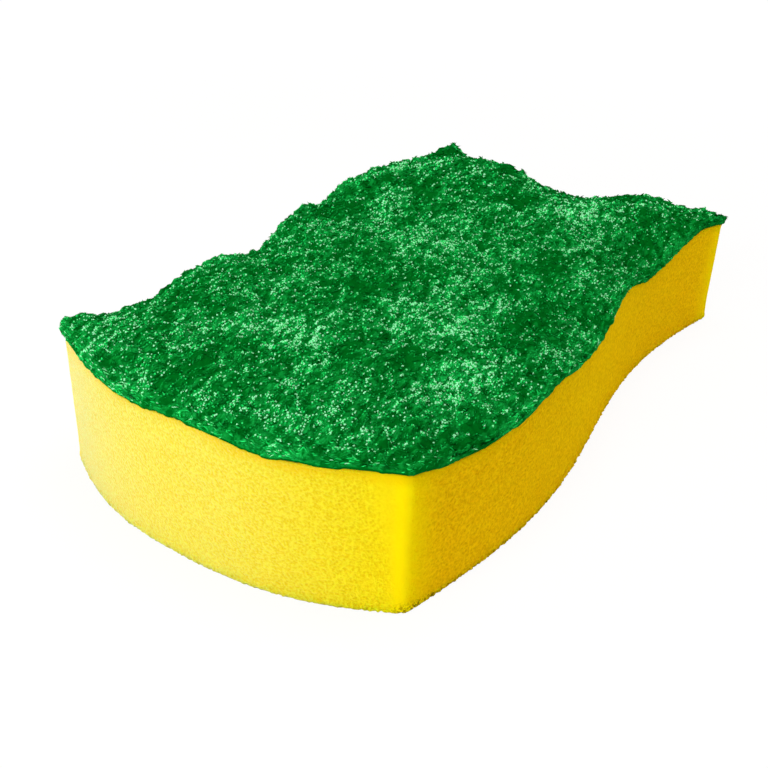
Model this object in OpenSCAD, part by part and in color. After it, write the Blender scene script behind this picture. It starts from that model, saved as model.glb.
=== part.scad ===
// Cleaning sponge: a die-cut block of soft foam with a rough scouring pad bonded to its top.
// The block stands on its flat underside, with +X along its length, +Y across it and +Z up.
// Both long sides follow one S-shaped line and both ends follow one bowed line, so that blocks nest
// when they are cut side by side from a sheet. The origin is the middle of the underside.

/* [Block] */
// Length of a long side, from corner to corner
side_length = 126; // [90:1:180]
// Distance from one long side to the other
block_width = 70; // [50:1:110]
// Height of the foam at the middle of the block
foam_height = 25; // [15:0.5:45]
// Rounding of the upright corners
corner_r = 0.8; // [0.4:0.1:5]

/* [Outline] */
// How far each end is bowed towards -X
end_bow = 10.3; // [0:0.1:18]
// How much fuller the bow is near its corners
end_fullness = 0.7; // [0:0.1:2.5]
// Depth of the S along each long side
side_wave = 3.7; // [0:0.1:7]
// Single bow that goes with the S
side_bow = 0.55; // [0:0.05:3]

/* [Bond line] */
// How far in from the sides and the near end the bond is uneven
bond_reach = 22; // [8:1:24]
// Places of the three dips along the right side, as shares of its length
dip_places = [0.14, 0.45, 0.76]; // [0.1:0.01:0.9]
// Depth of each dip
dip_depths = [2.9, 3.6, 4.9]; // [0:0.1:6]
// Length of a dip along the edge
dip_length = 53; // [14:1:70]
// Height of the waves along the left side
left_swell = 1.1; // [0:0.1:2]
// Waves along the left side
left_waves = 4; // [1:1:6]
// Share of a wave by which the first crest on the left side comes before the near end
left_lead = 0.07; // [0:0.01:0.5]
// Distance from the near end over which the waves of the left side begin
left_start = 6; // [1:1:20]
// Height of the waves along the near end
near_swell = 0.5; // [0:0.1:1.5]
// Waves along the near end
near_waves = 2.5; // [1:0.5:5]
// Share of a wave before the first crest on the near end
near_lag = 0.17; // [0:0.01:0.5]
// Height of the waves along the far end
far_swell = 1.1; // [0:0.1:2.5]
// How far the bond is pressed down along the far end
far_sink = 0.9; // [0:0.1:2]
// Waves along the far end
far_waves = 2; // [1:1:4]
// How far in from the far end the bond is uneven
far_reach = 15; // [8:1:24]

/* [Pad] */
// Thickness of the pad away from its edges
pad_loft = 4.2; // [3:0.1:10]
// Thickness of the pad at its edge, where cutting pinches it
pad_edge = 1.8; // [1:0.1:3]
// Distance over which the pad rises to its full thickness
pad_shoulder = 13; // [4:0.5:22]
// How far the edge of the pad stands out past the foam
pad_lip = 0.5; // [0.1:0.1:1.5]
// Height of the uneven ground of the pad
web_swell = 0.35; // [0:0.05:0.6]
// Distance between its high places
web_pitch = 19; // [12:1:40]

/* [Hidden] */

FOAM_COLOUR = [0.97, 0.86, 0.2];
PAD_COLOUR = [0.05, 0.48, 0.18];

// Spacing of the points that carry the curved faces, and how many share the rounding of a corner
POINT_SPACING = 2.6;
CORNER_STEPS = 3;

// Lines across a length: close together in the rounding at each end, evenly spaced between
function stations(length) =
    let (
        middle = length - 2 * corner_r,
        n = ceil(middle / POINT_SPACING)
    )
    concat(
        [for (i = [0:CORNER_STEPS - 1]) corner_r * i / CORNER_STEPS],
        [for (i = [0:n]) corner_r + middle * i / n],
        [for (i = [1:CORNER_STEPS]) length - corner_r * (1 - i / CORNER_STEPS)]
    );

along = stations(side_length);
across = stations(block_width);
last_a = len(along) - 1;
last_b = len(across) - 1;

// Offset of the bowed ends at b across, and of the S-shaped sides at a along
function bow(b) = end_bow * sin(180 * b / block_width) + end_fullness * sin(540 * b / block_width);
function wave(a) = side_wave * sin(360 * a / side_length) + side_bow * sin(180 * a / side_length);

// Plan of the block at a along and b across, with its corners rounded. grow pushes the outline out
function plan(a, b, grow = 0) =
    let (
        p = max(corner_r - min(a, side_length - a), 0),
        q = max(corner_r - min(b, block_width - b), 0),
        rounding = p * q > 0 ? max(p, q) / norm([p, q]) : 1,
        inward = 1 - rounding * (corner_r + grow) / corner_r,
        a2 = a + (a < side_length / 2 ? 1 : -1) * p * inward,
        b2 = b + (b < block_width / 2 ? 1 : -1) * q * inward
    )
    [a2 - bow(b2), b2 - wave(a2)];

// Stations round the outline, counterclockwise from the corner of the near end and the right side
outline = concat(
    [for (i = [0:last_a - 1]) [i, 0]],
    [for (j = [0:last_b - 1]) [last_a, j]],
    [for (i = [last_a:-1:1]) [i, last_b]],
    [for (j = [last_b:-1:1]) [0, j]]
);
lip_plan = [for (s = outline) plan(along[s[0]], across[s[1]], pad_lip)];
lip_x = [for (p = lip_plan) p[0]];
lip_y = [for (p = lip_plan) p[1]];
centre = [(min(lip_x) + max(lip_x)) / 2, (min(lip_y) + max(lip_y)) / 2];

// 1 at an edge, falling smoothly to 0 at reach from it
function fade(distance, reach) = distance < reach ? pow(cos(90 * distance / reach), 2) : 0;

// 0 at an edge, rising smoothly to 1 at reach from it
function rise(distance, reach) = distance < reach ? sin(90 * distance / reach) : 1;

// How far the bond is pressed down by the dips, at a along the right side
function dips(a) = [
    for (i = [0:len(dip_places) - 1])
        dip_depths[i] * fade(abs(a - dip_places[i] * side_length), dip_length / 2)
] * [for (i = [0:len(dip_places) - 1]) 1];

// Height of the face where foam and pad are bonded
bond = function (a, b)
    foam_height
    - dips(a) * fade(b, bond_reach)
    + left_swell * cos(360 * (left_waves * a / side_length + left_lead))
        * rise(a, left_start) * fade(block_width - b, bond_reach)
    + near_swell * cos(360 * (near_waves * b / block_width - near_lag)) * fade(a, bond_reach)
    - (far_sink + far_swell * cos(360 * far_waves * b / block_width))
        * fade(side_length - a, far_reach);

// Height of the top of the pad
function ground(a, b) =
    sin(360 * a / web_pitch) * cos(270 * b / web_pitch)
    + sin(230 * (a + b) / web_pitch) * cos(310 * (a - b) / web_pitch) / 2;
top = function (a, b)
    let (
        shoulder = rise(min(a, side_length - a), pad_shoulder)
            * rise(min(b, block_width - b), pad_shoulder)
    )
    bond(a, b) + pad_edge + (pad_loft - pad_edge + web_swell * ground(a, b)) * shoulder;

underside = function (a, b) 0;

// Number of the point at stations i and j in a face
function at(i, j) = i * (last_b + 1) + j;

// Solid between two faces over the whole plan. lip pushes its edge out at mid-height
module slab(low, high, lip) {
    face_points = (last_a + 1) * (last_b + 1);
    edge_points = len(outline);
    low_points = [for (a = along, b = across) [each plan(a, b) - centre, low(a, b)]];
    high_points = [for (a = along, b = across) [each plan(a, b) - centre, high(a, b)]];
    lip_points = [
        for (s = outline)
            let (a = along[s[0]], b = across[s[1]])
            [each plan(a, b, lip) - centre, (low(a, b) + high(a, b)) / 2]
    ];
    high_faces = [
        for (i = [0:last_a - 1], j = [0:last_b - 1])
            each [
                [at(i, j), at(i + 1, j + 1), at(i + 1, j)],
                [at(i, j), at(i, j + 1), at(i + 1, j + 1)]
            ]
    ];
    low_faces = [for (f = high_faces) [f[0], f[2], f[1]]];
    edge_faces = [
        for (k = [0:edge_points - 1])
            let (
                next = (k + 1) % edge_points,
                low_k = at(outline[k][0], outline[k][1]),
                low_next = at(outline[next][0], outline[next][1]),
                lip_k = 2 * face_points + k,
                lip_next = 2 * face_points + next
            )
            each [
                [low_k, lip_next, low_next],
                [low_k, lip_k, lip_next],
                [lip_k, face_points + low_next, lip_next],
                [lip_k, face_points + low_k, face_points + low_next]
            ]
    ];
    polyhedron(
        points = concat(low_points, high_points, lip_points),
        faces = concat(
            low_faces,
            [for (f = high_faces) [for (n = f) n + face_points]],
            edge_faces
        ),
        convexity = 6
    );
}

module foam_block() {
    color(FOAM_COLOUR) slab(underside, bond, 0);
}

module scouring_pad() {
    color(PAD_COLOUR) slab(bond, top, pad_lip);
}

foam_block();
scouring_pad();
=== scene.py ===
"""Looks of the cleaning sponge: soft yellow foam under a rough green scouring pad.

The foam and the pad are both worked up from copies of their solids, so they keep the outline, the bond
line and the thickness of the part. Loose fibres and grit are then strewn over the pad. Lengths are in
metres, and a name that ends in _MM is in millimetres.
"""
import math

import bpy
import numpy as np
from mathutils import Matrix, Vector
from mathutils.bvhtree import BVHTree
from mathutils.kdtree import KDTree
from mathutils.noise import fractal


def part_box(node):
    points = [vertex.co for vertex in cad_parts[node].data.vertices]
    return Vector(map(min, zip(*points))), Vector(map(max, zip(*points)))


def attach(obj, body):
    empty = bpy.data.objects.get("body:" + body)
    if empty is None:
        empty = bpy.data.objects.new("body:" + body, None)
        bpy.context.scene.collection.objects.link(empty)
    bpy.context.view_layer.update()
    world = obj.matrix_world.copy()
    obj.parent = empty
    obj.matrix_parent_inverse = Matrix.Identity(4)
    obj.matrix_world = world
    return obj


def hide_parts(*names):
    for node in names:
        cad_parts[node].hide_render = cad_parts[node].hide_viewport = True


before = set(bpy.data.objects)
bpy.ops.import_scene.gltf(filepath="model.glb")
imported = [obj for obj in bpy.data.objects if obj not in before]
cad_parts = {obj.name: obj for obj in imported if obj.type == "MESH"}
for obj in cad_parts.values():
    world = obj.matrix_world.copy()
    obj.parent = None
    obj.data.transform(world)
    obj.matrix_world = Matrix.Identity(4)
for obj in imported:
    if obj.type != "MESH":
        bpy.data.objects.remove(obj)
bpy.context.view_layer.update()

MM = 0.001

# Camera: a 50 mm lens, low over the corner of the bowed end, with a slight tilt of the horizon
CAMERA_PLACE = Vector((-159.8, -97.8, 107.8)) * MM
CAMERA_HEADING = math.radians(33.8)
CAMERA_DOWN = math.radians(29.9)
CAMERA_ROLL = math.radians(1.95)
LENS_MM = 50
SENSOR_MM = 36

# Corners closer together than this are one, and a face this near the ground is the underside
HAIR = 0.01 * MM
# Size of the flat inner face of the underside, as a share of the whole underside
UNDERSIDE_SHARE = 0.99
# How many times wider than the sponge the floor is, and how far it lies below the sponge
FLOOR_SPREAD = 70
FLOOR_DROP = 0.02 * MM
# Middle of the sponge, where every lamp is aimed
LAMPS_AIM_MM = (0, 0, 15)

SEED = 11
random = np.random.default_rng(SEED)


# ---------------------------------------------------------------- working on meshes

def add_object(name, data):
    """Puts a mesh, a lamp or a camera into the scene."""
    piece = bpy.data.objects.new(name, data)
    bpy.context.scene.collection.objects.link(piece)
    return piece


def only(piece):
    """Makes this the one selected and active object."""
    bpy.ops.object.select_all(action="DESELECT")
    piece.select_set(True)
    bpy.context.view_layer.objects.active = piece


def corners_of(mesh):
    """Every vertex of a mesh, one row each."""
    rows = np.empty(len(mesh.vertices) * 3)
    mesh.vertices.foreach_get("co", rows)
    return rows.reshape(-1, 3)


def normals_of(mesh):
    """The normal at every vertex of a mesh."""
    rows = np.empty(len(mesh.vertices) * 3)
    mesh.vertices.foreach_get("normal", rows)
    return rows.reshape(-1, 3)


def copy_of_solid(node, name, merge):
    """A copy of one of the part's solids, with its corners merged, what folds up at them taken away, and
    its triangles paired into quads."""
    piece = add_object(name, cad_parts[node].data.copy())
    piece.data.materials.clear()
    only(piece)
    bpy.ops.object.mode_set(mode="EDIT")
    bpy.ops.mesh.select_all(action="SELECT")
    bpy.ops.mesh.remove_doubles(threshold=HAIR)
    bpy.ops.mesh.remove_doubles(threshold=merge)
    bpy.ops.mesh.select_mode(type="EDGE")
    bpy.ops.mesh.select_all(action="DESELECT")
    bpy.ops.mesh.select_non_manifold(use_wire=False, use_multi_face=False, use_non_contiguous=False,
                                     use_verts=False)
    bpy.ops.mesh.delete(type="EDGE")
    bpy.ops.mesh.select_all(action="SELECT")
    bpy.ops.mesh.tris_convert_to_quads(face_threshold=math.radians(60), shape_threshold=math.radians(60))
    bpy.ops.mesh.select_all(action="DESELECT")
    bpy.ops.object.mode_set(mode="OBJECT")
    return piece


def pick_faces(piece, wanted):
    """Opens a piece for editing, with only those faces selected that are wanted."""
    only(piece)
    bpy.ops.object.mode_set(mode="EDIT")
    bpy.ops.mesh.select_mode(type="FACE")
    bpy.ops.mesh.select_all(action="DESELECT")
    bpy.ops.object.mode_set(mode="OBJECT")
    for face in piece.data.polygons:
        face.select = bool(wanted(face))
    bpy.ops.object.mode_set(mode="EDIT")


def subdivide_faces(piece, wanted, cuts):
    """Subdivides the faces that are wanted."""
    pick_faces(piece, wanted)
    bpy.ops.mesh.subdivide(number_cuts=cuts)
    bpy.ops.mesh.select_all(action="DESELECT")
    bpy.ops.object.mode_set(mode="OBJECT")


def subdivide_edges(piece, wanted, cuts):
    """Subdivides the edges of the walls whose run, from end to end, is wanted."""
    only(piece)
    mesh = piece.data
    bpy.ops.object.mode_set(mode="EDIT")
    bpy.ops.mesh.select_mode(type="EDGE")
    bpy.ops.mesh.select_all(action="DESELECT")
    bpy.ops.object.mode_set(mode="OBJECT")
    on_wall = {key for face in mesh.polygons if abs(face.normal.z) < 0.5 for key in face.edge_keys}
    for edge in mesh.edges:
        start, end = (mesh.vertices[i].co for i in edge.vertices)
        edge.select = edge.key in on_wall and bool(wanted(end - start))
    bpy.ops.object.mode_set(mode="EDIT")
    bpy.ops.mesh.subdivide(number_cuts=cuts)
    bpy.ops.mesh.select_all(action="DESELECT")
    bpy.ops.object.mode_set(mode="OBJECT")


def open_underside(piece):
    """Takes away the flat underside."""
    pick_faces(piece, lambda face: face.center.z < HAIR)
    bpy.ops.mesh.delete(type="FACE")
    bpy.ops.object.mode_set(mode="OBJECT")


def close_underside(piece):
    """Fills the open foot of the walls with one flat face, inside a narrow rim."""
    only(piece)
    bpy.ops.object.mode_set(mode="EDIT")
    bpy.ops.mesh.select_mode(type="EDGE")
    bpy.ops.mesh.select_all(action="DESELECT")
    bpy.ops.mesh.select_non_manifold(extend=False)
    bpy.ops.mesh.edge_face_add()
    bpy.ops.mesh.extrude_region_move()
    bpy.ops.transform.resize(value=(UNDERSIDE_SHARE, UNDERSIDE_SHARE, 1), center_override=(0, 0, 0))
    bpy.ops.mesh.select_all(action="SELECT")
    bpy.ops.mesh.normals_make_consistent(inside=False)
    bpy.ops.mesh.select_all(action="DESELECT")
    bpy.ops.object.mode_set(mode="OBJECT")


def weight(piece, name, values):
    """A vertex group with one weight for each vertex, set in steps."""
    group = piece.vertex_groups.new(name=name)
    steps = 20
    levels = np.clip(np.round(np.asarray(values) * steps), 0, steps).astype(int)
    for level in range(1, steps + 1):
        chosen = np.nonzero(levels == level)[0]
        if len(chosen):
            group.add(chosen.tolist(), level / steps, "REPLACE")
    return name


def roughen(piece, kind, group, grain, depth, middle=0.5, **texture_settings):
    """Moves a group of vertices in and out by a procedural texture of a given grain, and applies it."""
    texture = bpy.data.textures.new(f"{piece.name}_{kind.lower()}", kind)
    texture.noise_scale = grain
    for key, value in texture_settings.items():
        setattr(texture, key, value)
    modifier = piece.modifiers.new("roughen", "DISPLACE")
    modifier.texture = texture
    modifier.texture_coords = "LOCAL"
    modifier.strength = depth
    modifier.mid_level = middle
    modifier.vertex_group = group
    only(piece)
    bpy.ops.object.modifier_apply(modifier=modifier.name)


def smooth_plan(piece, group, passes):
    """Evens out the plan of a group of vertices, at the heights they have."""
    modifier = piece.modifiers.new("smooth", "SMOOTH")
    modifier.use_z = False
    modifier.factor = 0.5
    modifier.iterations = passes
    modifier.vertex_group = group
    only(piece)
    bpy.ops.object.modifier_apply(modifier=modifier.name)


def store(mesh, name, values):
    """Keeps one number for each vertex, for the material to read."""
    layer = mesh.attributes.new(name, "FLOAT", "POINT")
    layer.data.foreach_set("value", np.asarray(values, dtype=np.float32))


def stored(mesh, name):
    """Reads such numbers back."""
    values = np.empty(len(mesh.vertices))
    mesh.attributes[name].data.foreach_get("value", values)
    return values


def smooth_step(values, start, end):
    """0 before the start, 1 past the end, and a soft S between them."""
    share = np.clip((values - start) / (end - start), 0, 1)
    return share * share * (3 - 2 * share)


def unit(rows):
    """Rows scaled to a length of 1."""
    return rows / np.maximum(np.linalg.norm(rows, axis=1), 1e-12)[:, None]


def reach_of(piece, node):
    """How far each vertex of a piece is from one of the part's solids."""
    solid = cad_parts[node].data
    tree = BVHTree.FromPolygons([vertex.co for vertex in solid.vertices],
                                [face.vertices for face in solid.polygons])
    return np.array([tree.find_nearest(vertex.co)[3] for vertex in piece.data.vertices])


def unevenness(points, along, across, seed, octaves, fineness=0.7):
    """Patches of a given length and width, below 0 and above it. The lower the fineness, the more fine
    detail they have."""
    return np.array([
        fractal(Vector((x / along, y / across, seed)), fineness, 2.0, octaves) for x, y, z in points
    ])


def nearness(points, x_mm, y_mm, reach_mm):
    """1 right over or under a place, falling softly to 0 at its reach."""
    away = np.hypot(points[:, 0] - x_mm * MM, points[:, 1] - y_mm * MM)
    return 1 - smooth_step(away, 0, reach_mm * MM)


def outline_of(foam):
    """The foot of the foam's walls: a tree of places along it, and which way it runs at each."""
    mesh = foam.data
    runs = {}
    for face in mesh.polygons:
        if abs(face.normal.z) < 0.5:
            for start, end in face.edge_keys:
                a = mesh.vertices[start].co
                b = mesh.vertices[end].co
                if max(a.z, b.z) < 0.05 * MM:
                    runs[(a.x + b.x) / 2, (a.y + b.y) / 2, 0.0] = (b - a).normalized()
    tree = KDTree(len(runs))
    for number, middle in enumerate(runs):
        tree.insert(middle, number)
    tree.balance()
    return tree, list(runs.values())


def edge_near(points, outline):
    """How far each point is from the outline, and which way the outline runs there."""
    tree, runs = outline
    found = [tree.find((x, y, 0)) for x, y, z in points]
    distances = np.array([distance for middle, number, distance in found])
    return distances, np.array([runs[number] for middle, number, distance in found])


# ---------------------------------------------------------------- shader arithmetic

class Number:
    """A number that varies over a surface. Arithmetic on it adds Math nodes."""

    def __init__(self, shader, socket):
        self.shader = shader
        self.socket = socket

    def maths(self, operation, *terms):
        """Adds one Math node that works on the terms."""
        return self.shader.node("ShaderNodeMath", {"operation": operation}, dict(enumerate(terms)))

    def __add__(self, other):
        return self.maths("ADD", self, other)

    __radd__ = __add__

    def __sub__(self, other):
        return self.maths("SUBTRACT", self, other)

    def __rsub__(self, other):
        return self.maths("SUBTRACT", other, self)

    def __mul__(self, other):
        return self.maths("MULTIPLY", self, other)

    __rmul__ = __mul__


class Shader:
    """The nodes of one material, or of the world."""

    def __init__(self, owner):
        self.owner = owner
        self.owner.use_nodes = True
        self.tree = self.owner.node_tree
        self.tree.nodes.clear()

    def node(self, kind, settings=None, inputs=None, output=0):
        """Adds a node, sets it up, feeds its sockets and gives back one of its outputs."""
        node = self.tree.nodes.new(kind)
        for key, value in (settings or {}).items():
            if key == "stops":
                self.set_stops(node.color_ramp, value)
            else:
                setattr(node, key, value)
        for key, value in (inputs or {}).items():
            if isinstance(value, Number):
                self.tree.links.new(value.socket, node.inputs[key])
            else:
                node.inputs[key].default_value = value
        return Number(self, node.outputs[output]) if len(node.outputs) else None

    @staticmethod
    def set_stops(ramp, stops):
        """Sets a colour ramp to a list of (position, colour)."""
        while len(ramp.elements) < len(stops):
            ramp.elements.new(1)
        for element, (position, colour) in zip(ramp.elements, stops):
            element.position = position
            element.color = (*colour, 1)

    def finish(self, surface, output="ShaderNodeOutputMaterial"):
        """Feeds the output and gives back the material or the world."""
        self.node(output, None, {"Surface": surface})
        return self.owner


def material_shader(name):
    """A new material, with no nodes yet."""
    return Shader(bpy.data.materials.new(name))


def place(shader):
    """Where a point of the piece is."""
    return shader.node("ShaderNodeTexCoord", output="Object")


def kept(shader, name):
    """A number stored on the vertices of the piece."""
    return shader.node("ShaderNodeAttribute", {"attribute_name": name}, None, "Fac")


def noise(shader, where, grain, detail=2.0, roughness=0.5):
    """Soft noise whose blobs are about one grain across, from 0 to 1."""
    sockets = {"Vector": where, "Scale": 1 / grain, "Detail": detail, "Roughness": roughness}
    return shader.node("ShaderNodeTexNoise", None, sockets)


def stretch(shader, value, start, end, low=0.0, high=1.0, way="LINEAR"):
    """The low number up to the start, the high one from the end on, and what lies between them."""
    sockets = {"Value": value, "From Min": start, "From Max": end, "To Min": low, "To Max": high}
    return shader.node("ShaderNodeMapRange", {"interpolation_type": way}, sockets)


def ramp(shader, value, stops):
    """A colour for each value."""
    return shader.node("ShaderNodeValToRGB", {"stops": stops}, {"Fac": value})


def blend(shader, amount, below, above):
    """Goes from one colour to another. Sockets 6 and 7 of a Mix node are its two colours, and its output 2
    is the mixed one."""
    return shader.node("ShaderNodeMix", {"data_type": "RGBA"}, {0: amount, 6: below, 7: above}, 2)


# ---------------------------------------------------------------- foam

END_FACE = (0.910, 0.733, 0.0030, 1)
# Pale colour on the ends: painted sheen
END_PAINTED_SHEEN = (0.765, 0.685, 0.1290, 1)
END_PORE = (0.780, 0.543, 0.0006, 1)
# The long sides: the same foam as the ends in a darker, more orange copy, painted shade
SIDE_FACE_PAINTED_SHADE = (0.965, 0.600, 0.0030, 1)
SIDE_PORE_PAINTED_SHADE = (0.71, 0.375, 0.0003, 1)
# Painted glow, where light wraps round the upright corners
FOAM_PAINTED_GLOW = (1.00, 0.725, 0.0010, 1)
# Darker, more orange band just under the pad
FOAM_UNDER_PAD = (0.92, 0.530, 0.0004, 1)
# Painted contact shadow along the foot of the long side
FOAM_PAINTED_CONTACT_SHADOW = (0.30, 0.190, 0.0010, 1)
END_PITCH = 0.38 * MM
SIDE_PITCH = 0.53 * MM


def foam_material():
    """Fine open-cell foam: yellow with shallow winding pores, darker and more orange in a band just under the
    pad. The ends
    carry a pale painted sheen over a real sheen, and the long sides are a darker, more orange copy of the
    same foam:
    painted shade. The upright corners carry a painted glow, and the foot of one long side a painted contact
    shadow."""
    shader = material_shader("foam")
    where = place(shader)
    on_end = kept(shader, "on_end")
    end_worms = noise(shader, where, END_PITCH, detail=2.0, roughness=0.6)
    side_worms = noise(shader, where, SIDE_PITCH, detail=2.0, roughness=0.6)
    worms = side_worms + (end_worms - side_worms) * on_end
    pits = shader.node("ShaderNodeTexVoronoi", {"feature": "F1"},
                       {"Vector": where, "Scale": 1 / (1.3 * END_PITCH), "Randomness": 1.0}, "Distance")
    calm = kept(shader, "calm")
    depth = ((worms - 0.5) * 2.4 + (0.5 - pits) * 0.9) * (1 - calm * 0.8) + calm * 0.08
    # The ends turn pale toward their left corner: painted sheen
    face = blend(shader, kept(shader, "nap"), END_FACE, END_PAINTED_SHEEN)
    end_cells = blend(shader, stretch(shader, depth, -0.3, 0.5), face, END_PORE)
    # The long sides take the darker, more orange copy: painted shade
    side_cells = blend(shader, stretch(shader, depth, -0.45, 0.65), SIDE_FACE_PAINTED_SHADE, SIDE_PORE_PAINTED_SHADE)
    cells = blend(shader, on_end, side_cells, end_cells)
    # Painted glow round the upright corners
    lit = blend(shader, kept(shader, "corner"), cells, FOAM_PAINTED_GLOW)
    # A darker, more orange band just under the pad
    warmed = blend(shader, kept(shader, "glue"), lit, FOAM_UNDER_PAD)
    # Painted contact shadow along the foot, broken into flecks
    flecks = stretch(shader, noise(shader, where, 0.33 * MM, detail=1.0), 0.46, 0.57)
    colour = blend(shader, kept(shader, "foot") * flecks, warmed, FOAM_PAINTED_CONTACT_SHADOW)
    relief = shader.node("ShaderNodeBump", None,
                         {"Strength": 0.7, "Distance": 0.25 * MM, "Height": depth * (on_end * -0.2 - 0.8)})
    sockets = {
        "Base Color": colour,
        "Roughness": 1.0,
        "Normal": relief,
        "Specular IOR Level": 0.0,
        "Subsurface Weight": 0.7,
        "Subsurface Radius": (1.0, 0.6, 0.15),
        "Subsurface Scale": 3.0 * MM,
    }
    without_sheen = shader.node("ShaderNodeBsdfPrincipled", None, sockets)
    with_sheen = shader.node("ShaderNodeBsdfPrincipled", None,
                         {**sockets, "Sheen Weight": 0.5, "Sheen Roughness": 0.5})
    # The real sheen, mixed in by the same mask that lays on the painted sheen
    surface = shader.node("ShaderNodeMixShader", None, {0: kept(shader, "nap"), 1: without_sheen, 2: with_sheen})
    return shader.finish(surface)


def cut_foam():
    """The foam block as it is cut: fine squares all over its walls, which are softly rounded into each other,
    and a flat underside."""
    foam = copy_of_solid("foam_block", "foam", merge=0.1 * MM)
    subdivide_edges(foam, lambda run: abs(run.z) > 4 * MM, cuts=31)
    subdivide_edges(foam, lambda run: math.hypot(run.x, run.y) > 1 * MM, cuts=6)
    open_underside(foam)
    held = smooth_step(reach_of(foam, "scouring_pad"), 0.2 * MM, 1 * MM)
    held *= 0.3 + 0.7 * smooth_step(corners_of(foam.data)[:, 2], 0, 6 * MM)
    smooth_plan(foam, weight(foam, "held", held), passes=50)
    close_underside(foam)
    return foam


def make_foam():
    """The finished foam block: its material knows the ends, the band just under the pad, the painted glow at
    the corners and the painted contact shadow along the foot, its cut faces are slightly uneven, and its
    lower edge is slightly torn."""
    foam = cut_foam()
    mesh = foam.data
    below_pad = reach_of(foam, "scouring_pad")
    places = corners_of(mesh)
    normals = normals_of(mesh)
    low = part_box("foam_block")[0]
    height = places[:, 2]
    from_right_side = places[:, 1] - low[1]
    on_wall = normals[:, 2] > -0.95
    on_end = smooth_step(np.abs(normals[:, 0]), 0.25, 0.55)
    # Upright corners: the bowed end's right and left one, then the hollow end's
    corners = [places[(places[:, 0] * x + places[:, 1] * y).argmin()]
               for x, y in ((1, 1), (1, -1), (-1, 1), (-1, -1))]
    from_corners = [np.hypot(places[:, 0] - corner[0], places[:, 1] - corner[1]) for corner in corners]
    from_bowed_right, from_bowed_left = from_corners[:2]
    from_corner = np.minimum.reduce(from_corners)
    # Painted sheen, and the real sheen with it, growing from the ends' right side toward their left
    nap = 0.03 + 0.5 * smooth_step(from_right_side, 4 * MM, 35 * MM)
    nap += 0.47 * smooth_step(from_right_side, 37 * MM, 70 * MM)
    # Painted glow round the upright corners, narrower on the ends
    at_corner = smooth_step(from_corner, 0.8 * MM, 2.4 * MM)
    corner = (0.95 - 0.8 * on_end * at_corner) * np.exp(-(from_corner / (4.3 * MM)) ** 2)
    # Width of the band under the pad, wider by the bowed end's left corner
    under_pad_width = (1.8 + 1.6 * unevenness(places, 14 * MM, 14 * MM, seed=5.0, octaves=2)) * MM
    under_pad_width += 2.5 * MM * np.exp(-(from_bowed_left / (14 * MM)) ** 2)
    # Painted contact shadow: along the foot of the long side toward -Y and round the bowed end's right
    # corner, fading toward the far end
    foot = np.maximum(1 - on_end, np.exp(-(from_bowed_right / (1.5 * MM)) ** 2))
    foot *= on_wall * (normals[:, 1] < 0)
    foot *= 1 - smooth_step(height, 0.1 * MM, (0.7 + 1.8 * np.exp(-from_corner / (6 * MM))) * MM)
    store(mesh, "on_end", on_end)
    store(mesh, "nap", on_end * nap)
    store(mesh, "calm", on_end * (1 - smooth_step(from_right_side - 0.16 * height, 3.5 * MM, 6.5 * MM)))
    store(mesh, "corner", on_wall * corner)
    store(mesh, "glue", 0.7 * (1 - smooth_step(below_pad, 0.2 * MM, np.maximum(under_pad_width, 0.6 * MM))))
    store(mesh, "foot", foot * (1 - 0.7 * smooth_step(from_bowed_right, 30 * MM, 60 * MM)))
    walls = weight(foam, "walls", on_wall * smooth_step(below_pad, 0.3 * MM, 2 * MM))
    torn = 1 - 0.2 * on_end * smooth_step(from_bowed_right, 3 * MM, 12 * MM)
    hem = weight(foam, "hem", on_wall * torn * (1 - smooth_step(height, 0.2 * MM, 1.5 * MM)))
    roughen(foam, "CLOUDS", walls, grain=1.2 * MM, depth=0.08 * MM, middle=0.2, noise_depth=2)
    roughen(foam, "CLOUDS", walls, grain=9 * MM, depth=0.08 * MM, middle=0.2, noise_depth=1)
    roughen(foam, "CLOUDS", hem, grain=0.5 * MM, depth=1.0 * MM, middle=0.32, noise_depth=1)
    for vertex in mesh.vertices:
        vertex.co.z = max(vertex.co.z, 0)
    only(foam)
    bpy.ops.object.shade_smooth_by_angle(angle=math.radians(55))
    mesh.materials.append(foam_material())
    return foam


# ---------------------------------------------------------------- scouring pad

PAD_GREENS = [
    (0.00, (0.0000, 0.098, 0.006)),
    (0.22, (0.0000, 0.131, 0.011)),
    (0.42, (0.0025, 0.222, 0.026)),
    (0.60, (0.0080, 0.352, 0.060)),
    (0.75, (0.0090, 0.590, 0.100)),
    (0.88, (0.0260, 0.930, 0.190)),
    # Near white: the painted glints of the pale grit
    (1.00, (0.3900, 1.000, 0.570)),
]

# High and low places of the web: where each is, how high it stands and how far it reaches
KNOTS_MM = [
    (21.5, 37.8, 1.9, 10), (6.5, 35.5, 1.0, 6), (47.0, 38.3, 1.1, 9), (66.0, 35.5, 1.0, 8),
    (63.5, 28.0, -1.5, 8), (58.5, 13.0, 0.6, 7), (52.0, -6.0, -1.5, 13), (59.5, -19.0, 0.9, 7),
    (65.0, -29.5, 0.9, 5), (-51.5, 33.8, -1.0, 8), (-40.3, 32.5, -1.2, 6), (-23.5, 31.4, 0.8, 7),
    (-11.0, 32.3, -0.7, 6), (-2.5, 33.8, 0.7, 6), (-57.7, 35.5, 0.5, 4),
]

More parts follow.
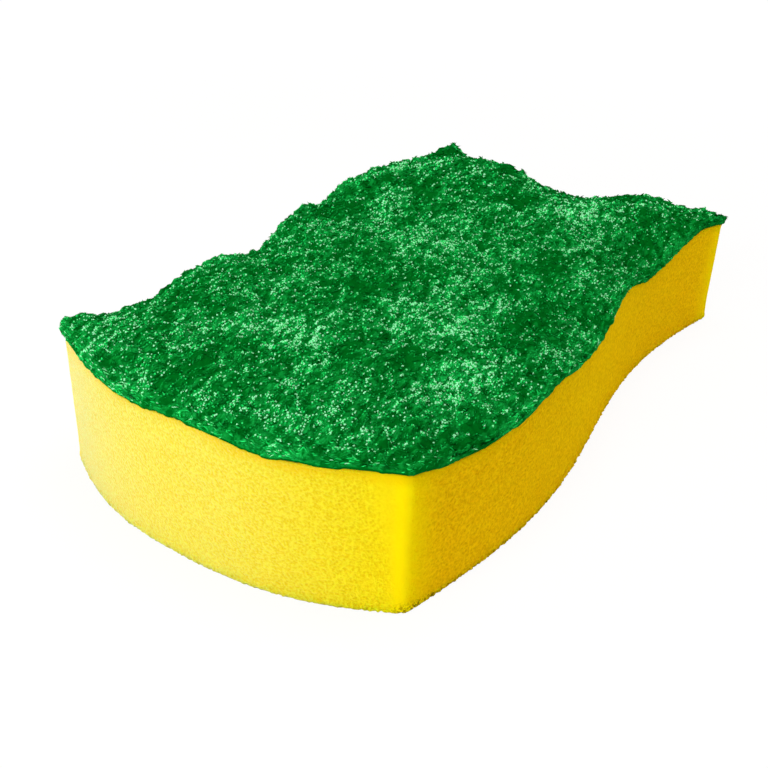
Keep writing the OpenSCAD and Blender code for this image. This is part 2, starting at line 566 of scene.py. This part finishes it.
# Where the web is matted thick and pale, above 0, or thin and dark, below it, and how far each place reaches
PATCHES_MM = [
    (40, 35, 0.7, 12), (-7, 29, 0.5, 12), (-40, 1, 0.8, 14), (-21, -17, 0.8, 14), (-55, -14, 0.6, 11),
    (-33, -30, 0.8, 11), (3, 4, 0.6, 12), (36, -12, 0.6, 12), (11, -30, 0.6, 10), (-56, 21, 0.4, 12),
    (-18, 1, -0.9, 11), (13, 32, -0.9, 12), (-37, 24, -0.7, 11), (-55, 2, -0.6, 9), (-50, -29, -0.5, 8),
    (-40, -18, -0.5, 7), (7, -18, -0.7, 12), (35, 2, -1.1, 10), (44, -27, -0.6, 10), (-10, -30, -0.7, 9),
    (46, 25, 0.8, 6), (48, 16, 0.6, 5), (42, 9, 0.6, 5), (41, -15, 0.7, 4), (21, -19, 0.5, 6),
    (25, -22, -0.6, 5), (56, -14, -0.7, 8), (13, 5, 0.5, 7), (60, 30, -0.6, 9), (32, 19, -0.7, 10),
]


def pad_surface(shader, tone, normal=None):
    """The resin on the web and its fibres. The tone gives its green, from 0, dark, to 1, almost white."""
    sockets = {
        "Base Color": ramp(shader, tone, PAD_GREENS),
        "Roughness": 0.7,
        "Specular IOR Level": 0.0,
    }
    if normal is not None:
        sockets["Normal"] = normal
    return shader.node("ShaderNodeBsdfPrincipled", None, sockets)


def web_material():
    """The matted web under the loose fibres: dark and smooth where it is thin, bright and gritty where it
    is thick."""
    shader = material_shader("scouring_web")
    where = place(shader)
    patch = kept(shader, "patch")
    streaks = shader.node("ShaderNodeMapping", None, {"Vector": where, "Scale": (0.5, 1.3, 1.0)})
    grit = noise(shader, streaks, 0.45 * MM, detail=3.0, roughness=0.7)
    strands = noise(shader, streaks, 1.3 * MM, detail=3.0, roughness=0.6)
    lively = stretch(shader, patch, -0.5, 0.2, 0.25, 1.0, "SMOOTHSTEP")
    matted = strands + patch * 0.15 + kept(shader, "clump") * 0.12 + kept(shader, "border") * 0.06
    body = stretch(shader, matted, 0.34, 0.58, 0.21, 0.49, "SMOOTHSTEP")
    specks = (grit - 0.5) * lively * (1 - kept(shader, "bare") * 0.5)
    # Raised places of the web a little lighter, hollows a little darker: painted shade
    tone = body + patch * 0.04 + kept(shader, "height") * 0.05 + specks
    shaded = tone * (1 - kept(shader, "seam") * 0.9)
    relief = shader.node("ShaderNodeBump", None, {"Strength": 0.5, "Distance": 0.25 * MM, "Height": grit})
    return shader.finish(pad_surface(shader, shaded, relief))


def bit_material():
    """Fibres and grit, each in its own tone."""
    shader = material_shader("scouring_bits")
    return shader.finish(pad_surface(shader, kept(shader, "tone")))


def make_pad(outline):
    """The matted web: knotted over its top, pinched smooth along its edge."""
    pad = copy_of_solid("scouring_pad", "pad_web", merge=0.3 * MM)
    subdivide_faces(pad, lambda face: face.normal.z > -0.75, cuts=6)
    mesh = pad.data
    before = corners_of(mesh)
    normals = normals_of(mesh)
    above_foam = reach_of(pad, "foam_block")
    inset = edge_near(before, outline)[0]
    seam = 1 - smooth_step(above_foam, 0.5 * MM, 0.9 * MM)
    store(mesh, "seam", seam * (1 - 0.6 * smooth_step(-normals[:, 1], 0.3, 0.6)))
    patch = 0.8 * np.tanh(2.4 * unevenness(before, 13 * MM, 8 * MM, seed=3.0, octaves=6, fineness=0.4))
    for x, y, thickness, reach in PATCHES_MM:
        patch += thickness * nearness(before, x, y, reach)
    bare = smooth_step(before[:, 0] + before[:, 1], 5 * MM, 75 * MM)
    patch *= 1 + 0.6 * bare
    store(mesh, "patch", patch)
    clump = 3.3 * unevenness(before, 2.4 * MM, 1.0 * MM, seed=8.0, octaves=2, fineness=0.5)
    store(mesh, "clump", np.clip(clump, -1.5, 1.5))
    store(mesh, "bare", bare)
    store(mesh, "border", 1 - smooth_step(inset, 0.3 * MM, 1.1 * MM))
    upward = np.clip(normals[:, 2] * 1.4, 0, 1)
    web = weight(pad, "web", upward)
    edge = weight(pad, "edge", np.where(normals[:, 2] > -0.2, 0.25 + 0.75 * upward, 0.0))
    cut_clean = 1 - 0.5 * np.maximum(normals[:, 1] < -0.3, normals[:, 0] < -0.5)
    lip = weight(pad, "lip", np.where(normals[:, 2] > -0.2, (1 - upward) * cut_clean, 0.0))
    raised = before.copy()
    for x, y, rise, reach in KNOTS_MM:
        raised[:, 2] += upward * rise * MM * nearness(before, x, y, reach)
    droop = np.clip(above_foam / MM, 0, 1) * (normals[:, 2] < 0.3)
    sagging = 0.4 + 1.3 * unevenness(before, 6 * MM, 6 * MM, seed=12.0, octaves=5, fineness=0.6)
    droop *= 4 * (1 - droop) * np.clip(sagging, 0, 1)
    raised[:, :2] += unit(normals[:, :2]) * droop[:, None] * 0.12 * MM
    raised[:, 2] -= droop * 0.5 * MM
    mesh.vertices.foreach_set("co", raised.ravel())
    roughen(pad, "CLOUDS", web, grain=4.5 * MM, depth=1.1 * MM, noise_depth=2)
    roughen(pad, "VORONOI", edge, grain=2.0 * MM, depth=-1.2 * MM, middle=0.35)
    roughen(pad, "CLOUDS", edge, grain=0.8 * MM, depth=0.6 * MM, noise_depth=2)
    roughen(pad, "CLOUDS", lip, grain=3.5 * MM, depth=1.1 * MM, middle=0.3, noise_depth=2)
    roughen(pad, "CLOUDS", lip, grain=1.3 * MM, depth=0.9 * MM, middle=0.4, noise_depth=1)
    lift = ((corners_of(mesh) - before) * normals).sum(1)
    # Lift along the normal, kept as height: the web's tone follows it as painted shade
    store(mesh, "height", np.clip(lift / (0.6 * MM), -1.5, 1.5))
    only(pad)
    bpy.ops.object.shade_smooth()
    mesh.materials.append(web_material())
    return pad


def scatter(pad, count, gather, cluster, rim):
    """Random places on the web, more of them on its thick patches and in small clusters: each with its
    normal, how thick the web is there and how coarse. They lie over the open pad, or along its rim."""
    mesh = pad.data
    mesh.calc_loop_triangles()
    triangles = np.empty(len(mesh.loop_triangles) * 3, dtype=int)
    mesh.loop_triangles.foreach_get("vertices", triangles)
    triangles = triangles.reshape(-1, 3)
    a, b, c = (corners_of(mesh)[triangles[:, k]] for k in range(3))
    crossed = np.cross(b - a, c - a)
    size = np.linalg.norm(crossed, axis=1)
    normals = crossed / np.maximum(size, 1e-12)[:, None]
    patch, clump, seam, border, bare = (stored(mesh, name)[triangles[:, 0]]
                                        for name in ("patch", "clump", "seam", "border", "bare"))
    share = size * (normals[:, 2] > -0.1) * (seam < 0.2) * np.exp(gather * patch + cluster * clump)
    share *= border if rim else (1 - border) ** 2 * (1 - 0.75 * bare)
    chosen = random.choice(len(triangles), count, p=share / share.sum())
    u, v = random.random((2, count))
    outside = u + v > 1
    u[outside] = 1 - u[outside]
    v[outside] = 1 - v[outside]
    places = a[chosen] + u[:, None] * (b - a)[chosen] + v[:, None] * (c - a)[chosen]
    thick = (0.5 * patch + 0.5 * clump - 0.6 * bare)[chosen]
    if rim:
        thick += 0.5 * smooth_step(-places[:, 0], 45 * MM, 62 * MM)
    return places, normals[chosen], thick, 1 + 0.6 * bare[chosen]


def sliver_faces(rings, sides):
    """The faces of one sliver, whose corners are a tip, one ring after another, and the other tip."""
    around = [(k, (k + 1) % sides) for k in range(sides)]
    faces = [(0, 1 + k, 1 + n) for k, n in around]
    for low in range(1, 1 + (rings - 1) * sides, sides):
        high = low + sides
        faces += [(low + k, high + k, high + n, low + n) for k, n in around]
    last = 1 + (rings - 1) * sides
    return faces + [(last + sides, last + n, last + k) for k, n in around]


def make_bits(pad, outline, name, count, rings, sides, thickness, length, tone, spread, gather, cluster,
              stand=0.1, rim=False):
    """Closed slivers strewn over the web, all in one mesh: with one ring they are grains, with more they are
    short curved fibres. They lie along the pad more than across it, and along its edge near the edge."""
    places, normals, thick, coarse = scatter(pad, count, gather, cluster, rim)
    inset, runs = edge_near(places, outline)
    at_edge = inset < 3 * MM
    lengthways = np.where(at_edge[:, None], runs, (1.0, 0.0, 0.0))
    lengthways = unit(lengthways - (lengthways * normals).sum(1)[:, None] * normals)
    sideways = np.cross(normals, lengthways)
    turn = random.normal(0, np.where(at_edge, 0.25, 0.8))
    heading = np.cos(turn)[:, None] * lengthways + np.sin(turn)[:, None] * sideways
    aside = np.cross(normals, heading)
    reach = random.uniform(*length, count) * coarse
    girth = random.uniform(*thickness, count) / 2 * coarse
    curl = random.normal(0, 0.15, count) * reach
    rise = random.uniform(-0.2, stand, count) * reach
    share = np.linspace(-1, 1, rings + 2)
    line = (places[:, None]
            + share[:, None] * (heading * reach[:, None] / 2)[:, None]
            + (share ** 2)[:, None] * (aside * curl[:, None])[:, None]
            + (0.5 * (1 + share))[:, None] * (normals * rise[:, None])[:, None]
            + (normals * girth[:, None])[:, None] * 0.6)
    angles = 2 * np.pi * np.arange(sides) / sides
    ring = np.cos(angles)[:, None] * aside[:, None] + np.sin(angles)[:, None] * normals[:, None]
    ring = ring * girth[:, None, None]
    tubes = line[:, 1:-1, None] + ring[:, None]
    each = rings * sides + 2
    points = np.empty((count, each, 3))
    points[:, 0] = line[:, 0]
    points[:, 1:-1] = tubes.reshape(count, -1, 3)
    points[:, -1] = line[:, -1]
    sliver = sliver_faces(rings, sides)
    faces = [tuple(corner + n * each for corner in face) for n in range(count) for face in sliver]
    mesh = bpy.data.meshes.new(name)
    mesh.from_pydata(points.reshape(-1, 3).tolist(), [], faces)
    mesh.update()
    tones = np.clip(tone + spread * (thick + random.normal(0, 1, count)), 0, 1)
    store(mesh, "tone", np.repeat(tones, each))
    piece = add_object(name, mesh)
    only(piece)
    bpy.ops.object.mode_set(mode="EDIT")
    bpy.ops.mesh.select_all(action="SELECT")
    bpy.ops.mesh.normals_make_consistent(inside=False)
    bpy.ops.mesh.select_all(action="DESELECT")
    bpy.ops.object.mode_set(mode="OBJECT")
    bpy.ops.object.shade_smooth()
    return piece


# ---------------------------------------------------------------- room

def make_floor(foam):
    """A plain white floor, which still shows a faint shadow around the sponge. It is open within the rim of
    the foam's underside, so that the underside can be seen from below."""
    floor = add_object("floor", foam.data.copy())
    floor.data.materials.clear()
    underside = max(floor.data.polygons, key=lambda face: face.area).index
    pick_faces(floor, lambda face: face.index != underside)
    bpy.ops.mesh.delete(type="FACE")
    bpy.ops.mesh.select_all(action="SELECT")
    bpy.ops.mesh.delete(type="ONLY_FACE")
    bpy.ops.mesh.select_mode(type="EDGE")
    bpy.ops.mesh.select_all(action="SELECT")
    bpy.ops.mesh.extrude_edges_move()
    bpy.ops.transform.resize(value=(FLOOR_SPREAD, FLOOR_SPREAD, 1), center_override=(0, 0, 0))
    bpy.ops.mesh.select_all(action="SELECT")
    bpy.ops.transform.translate(value=(0, 0, -FLOOR_DROP))
    bpy.ops.mesh.normals_make_consistent(inside=False)
    bpy.ops.object.mode_set(mode="OBJECT")
    if floor.data.polygons[0].normal.z < 0:
        bpy.ops.object.mode_set(mode="EDIT")
        bpy.ops.mesh.flip_normals()
        bpy.ops.object.mode_set(mode="OBJECT")
    shader = material_shader("floor")
    plain = shader.node("ShaderNodeBsdfDiffuse", None, {"Color": (0.95, 0.95, 0.95, 1)})
    white = shader.node("ShaderNodeEmission", None, {"Color": (1, 1, 1, 1), "Strength": 1.02})
    seen = shader.node("ShaderNodeLightPath", None, None, "Is Camera Ray")
    away = shader.node("ShaderNodeVectorMath", {"operation": "LENGTH"}, {0: place(shader)}, "Value")
    evenness = stretch(shader, away, 0.1, 0.4, 0.88, 1.0)
    surface = shader.node("ShaderNodeMixShader", None, {0: seen * evenness, 1: plain, 2: white})
    floor.data.materials.append(shader.finish(surface))
    return floor


def make_lamp(name, place_mm, width_mm, watts, colour=(1, 1, 1)):
    """A soft square lamp that faces the sponge."""
    lamp = bpy.data.lights.new(name, "AREA")
    lamp.shape = "SQUARE"
    lamp.size = width_mm * MM
    lamp.energy = watts
    lamp.color = colour
    holder = add_object(name, lamp)
    holder.location = Vector(place_mm) * MM
    facing = (Vector(LAMPS_AIM_MM) - Vector(place_mm)).to_track_quat("-Z", "Y")
    holder.rotation_euler = facing.to_euler()


def light_studio():
    """White surroundings, a large key lamp off the bowed end, a lamp that grazes the left side, and soft
    lamps from above and from the far right."""
    world = bpy.data.worlds.new("studio")
    bpy.context.scene.world = world
    shader = Shader(world)
    around = shader.node("ShaderNodeBackground", None, {"Color": (1.0, 0.90, 0.84, 1), "Strength": 0.26})
    white = shader.node("ShaderNodeBackground", None, {"Color": (1, 1, 1, 1), "Strength": 1.0})
    seen = shader.node("ShaderNodeLightPath", None, None, "Is Camera Ray")
    shader.finish(shader.node("ShaderNodeMixShader", None, {0: seen, 1: around, 2: white}),
                  "ShaderNodeOutputWorld")
    make_lamp("key", (-450, 0, 170), width_mm=240, watts=1.45, colour=(0.90, 1.0, 1.0))
    make_lamp("graze", (-150, 420, 100), width_mm=260, watts=0.55)
    make_lamp("top", (60, -40, 520), width_mm=320, watts=1.5, colour=(1.0, 0.95, 0.90))
    make_lamp("fill", (450, -360, 250), width_mm=260, watts=0.60, colour=(1.0, 0.93, 0.86))


def make_camera():
    """The camera, turned by its heading, its tilt down and its roll."""
    lens = bpy.data.cameras.new("camera")
    lens.lens = LENS_MM
    lens.sensor_width = SENSOR_MM
    lens.clip_start = 1 * MM
    camera = add_object("camera", lens)
    forward = Vector((math.cos(CAMERA_HEADING) * math.cos(CAMERA_DOWN),
                      math.sin(CAMERA_HEADING) * math.cos(CAMERA_DOWN),
                      -math.sin(CAMERA_DOWN)))
    level = Vector((math.sin(CAMERA_HEADING), -math.cos(CAMERA_HEADING), 0))
    upward = level.cross(forward)
    right = math.cos(CAMERA_ROLL) * level + math.sin(CAMERA_ROLL) * upward
    up = right.cross(forward)
    turned = Matrix((right, up, -forward)).transposed().to_4x4()
    camera.matrix_world = Matrix.Translation(CAMERA_PLACE) @ turned
    bpy.context.scene.camera = camera


# ---------------------------------------------------------------- the sponge

make_camera()
light_studio()

foam = make_foam()
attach(foam, "root")
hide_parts("foam_block")
make_floor(foam)

outline = outline_of(foam)
pad = make_pad(outline)
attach(pad, "root")
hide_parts("scouring_pad")

bit_finish = bit_material()
BITS = {
    "pad_fibres_dark": dict(count=6000, rings=2, sides=3, thickness=(0.22 * MM, 0.36 * MM),
                            length=(0.7 * MM, 1.6 * MM), tone=0.40, spread=0.12, gather=0.2, cluster=0.0),
    "pad_fibres_pale": dict(count=4500, rings=2, sides=3, thickness=(0.16 * MM, 0.26 * MM),
                            length=(0.4 * MM, 0.9 * MM), tone=0.66, spread=0.14, gather=1.3, cluster=0.6),
    "pad_fibres_rim": dict(count=5000, rings=2, sides=3, thickness=(0.14 * MM, 0.26 * MM),
                           length=(0.5 * MM, 1.4 * MM), tone=0.52, spread=0.18, gather=0.8, cluster=0.5,
                           stand=0.02, rim=True),
    "pad_grit_green": dict(count=23000, rings=1, sides=4, thickness=(0.20 * MM, 0.36 * MM),
                           length=(0.26 * MM, 0.64 * MM), tone=0.50, spread=0.13, gather=1.1, cluster=0.5,
                           stand=0.3),
    "pad_grit_light": dict(count=16000, rings=1, sides=4, thickness=(0.18 * MM, 0.36 * MM),
                           length=(0.22 * MM, 0.56 * MM), tone=0.65, spread=0.15, gather=1.35, cluster=0.9,
                           stand=0.3),
    # Real grains whose near-white green is painted glints
    "pad_grit_with_painted_glints": dict(count=11500, rings=1, sides=4, thickness=(0.22 * MM, 0.42 * MM),
                          length=(0.23 * MM, 0.55 * MM), tone=0.94, spread=0.14, gather=1.45, cluster=1.2,
                          stand=0.4),
}
for name, shape in BITS.items():
    bits = make_bits(pad, outline, name, **shape)
    bits.data.materials.append(bit_finish)
    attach(bits, "root")

bpy.context.scene.view_settings.view_transform = "Standard"
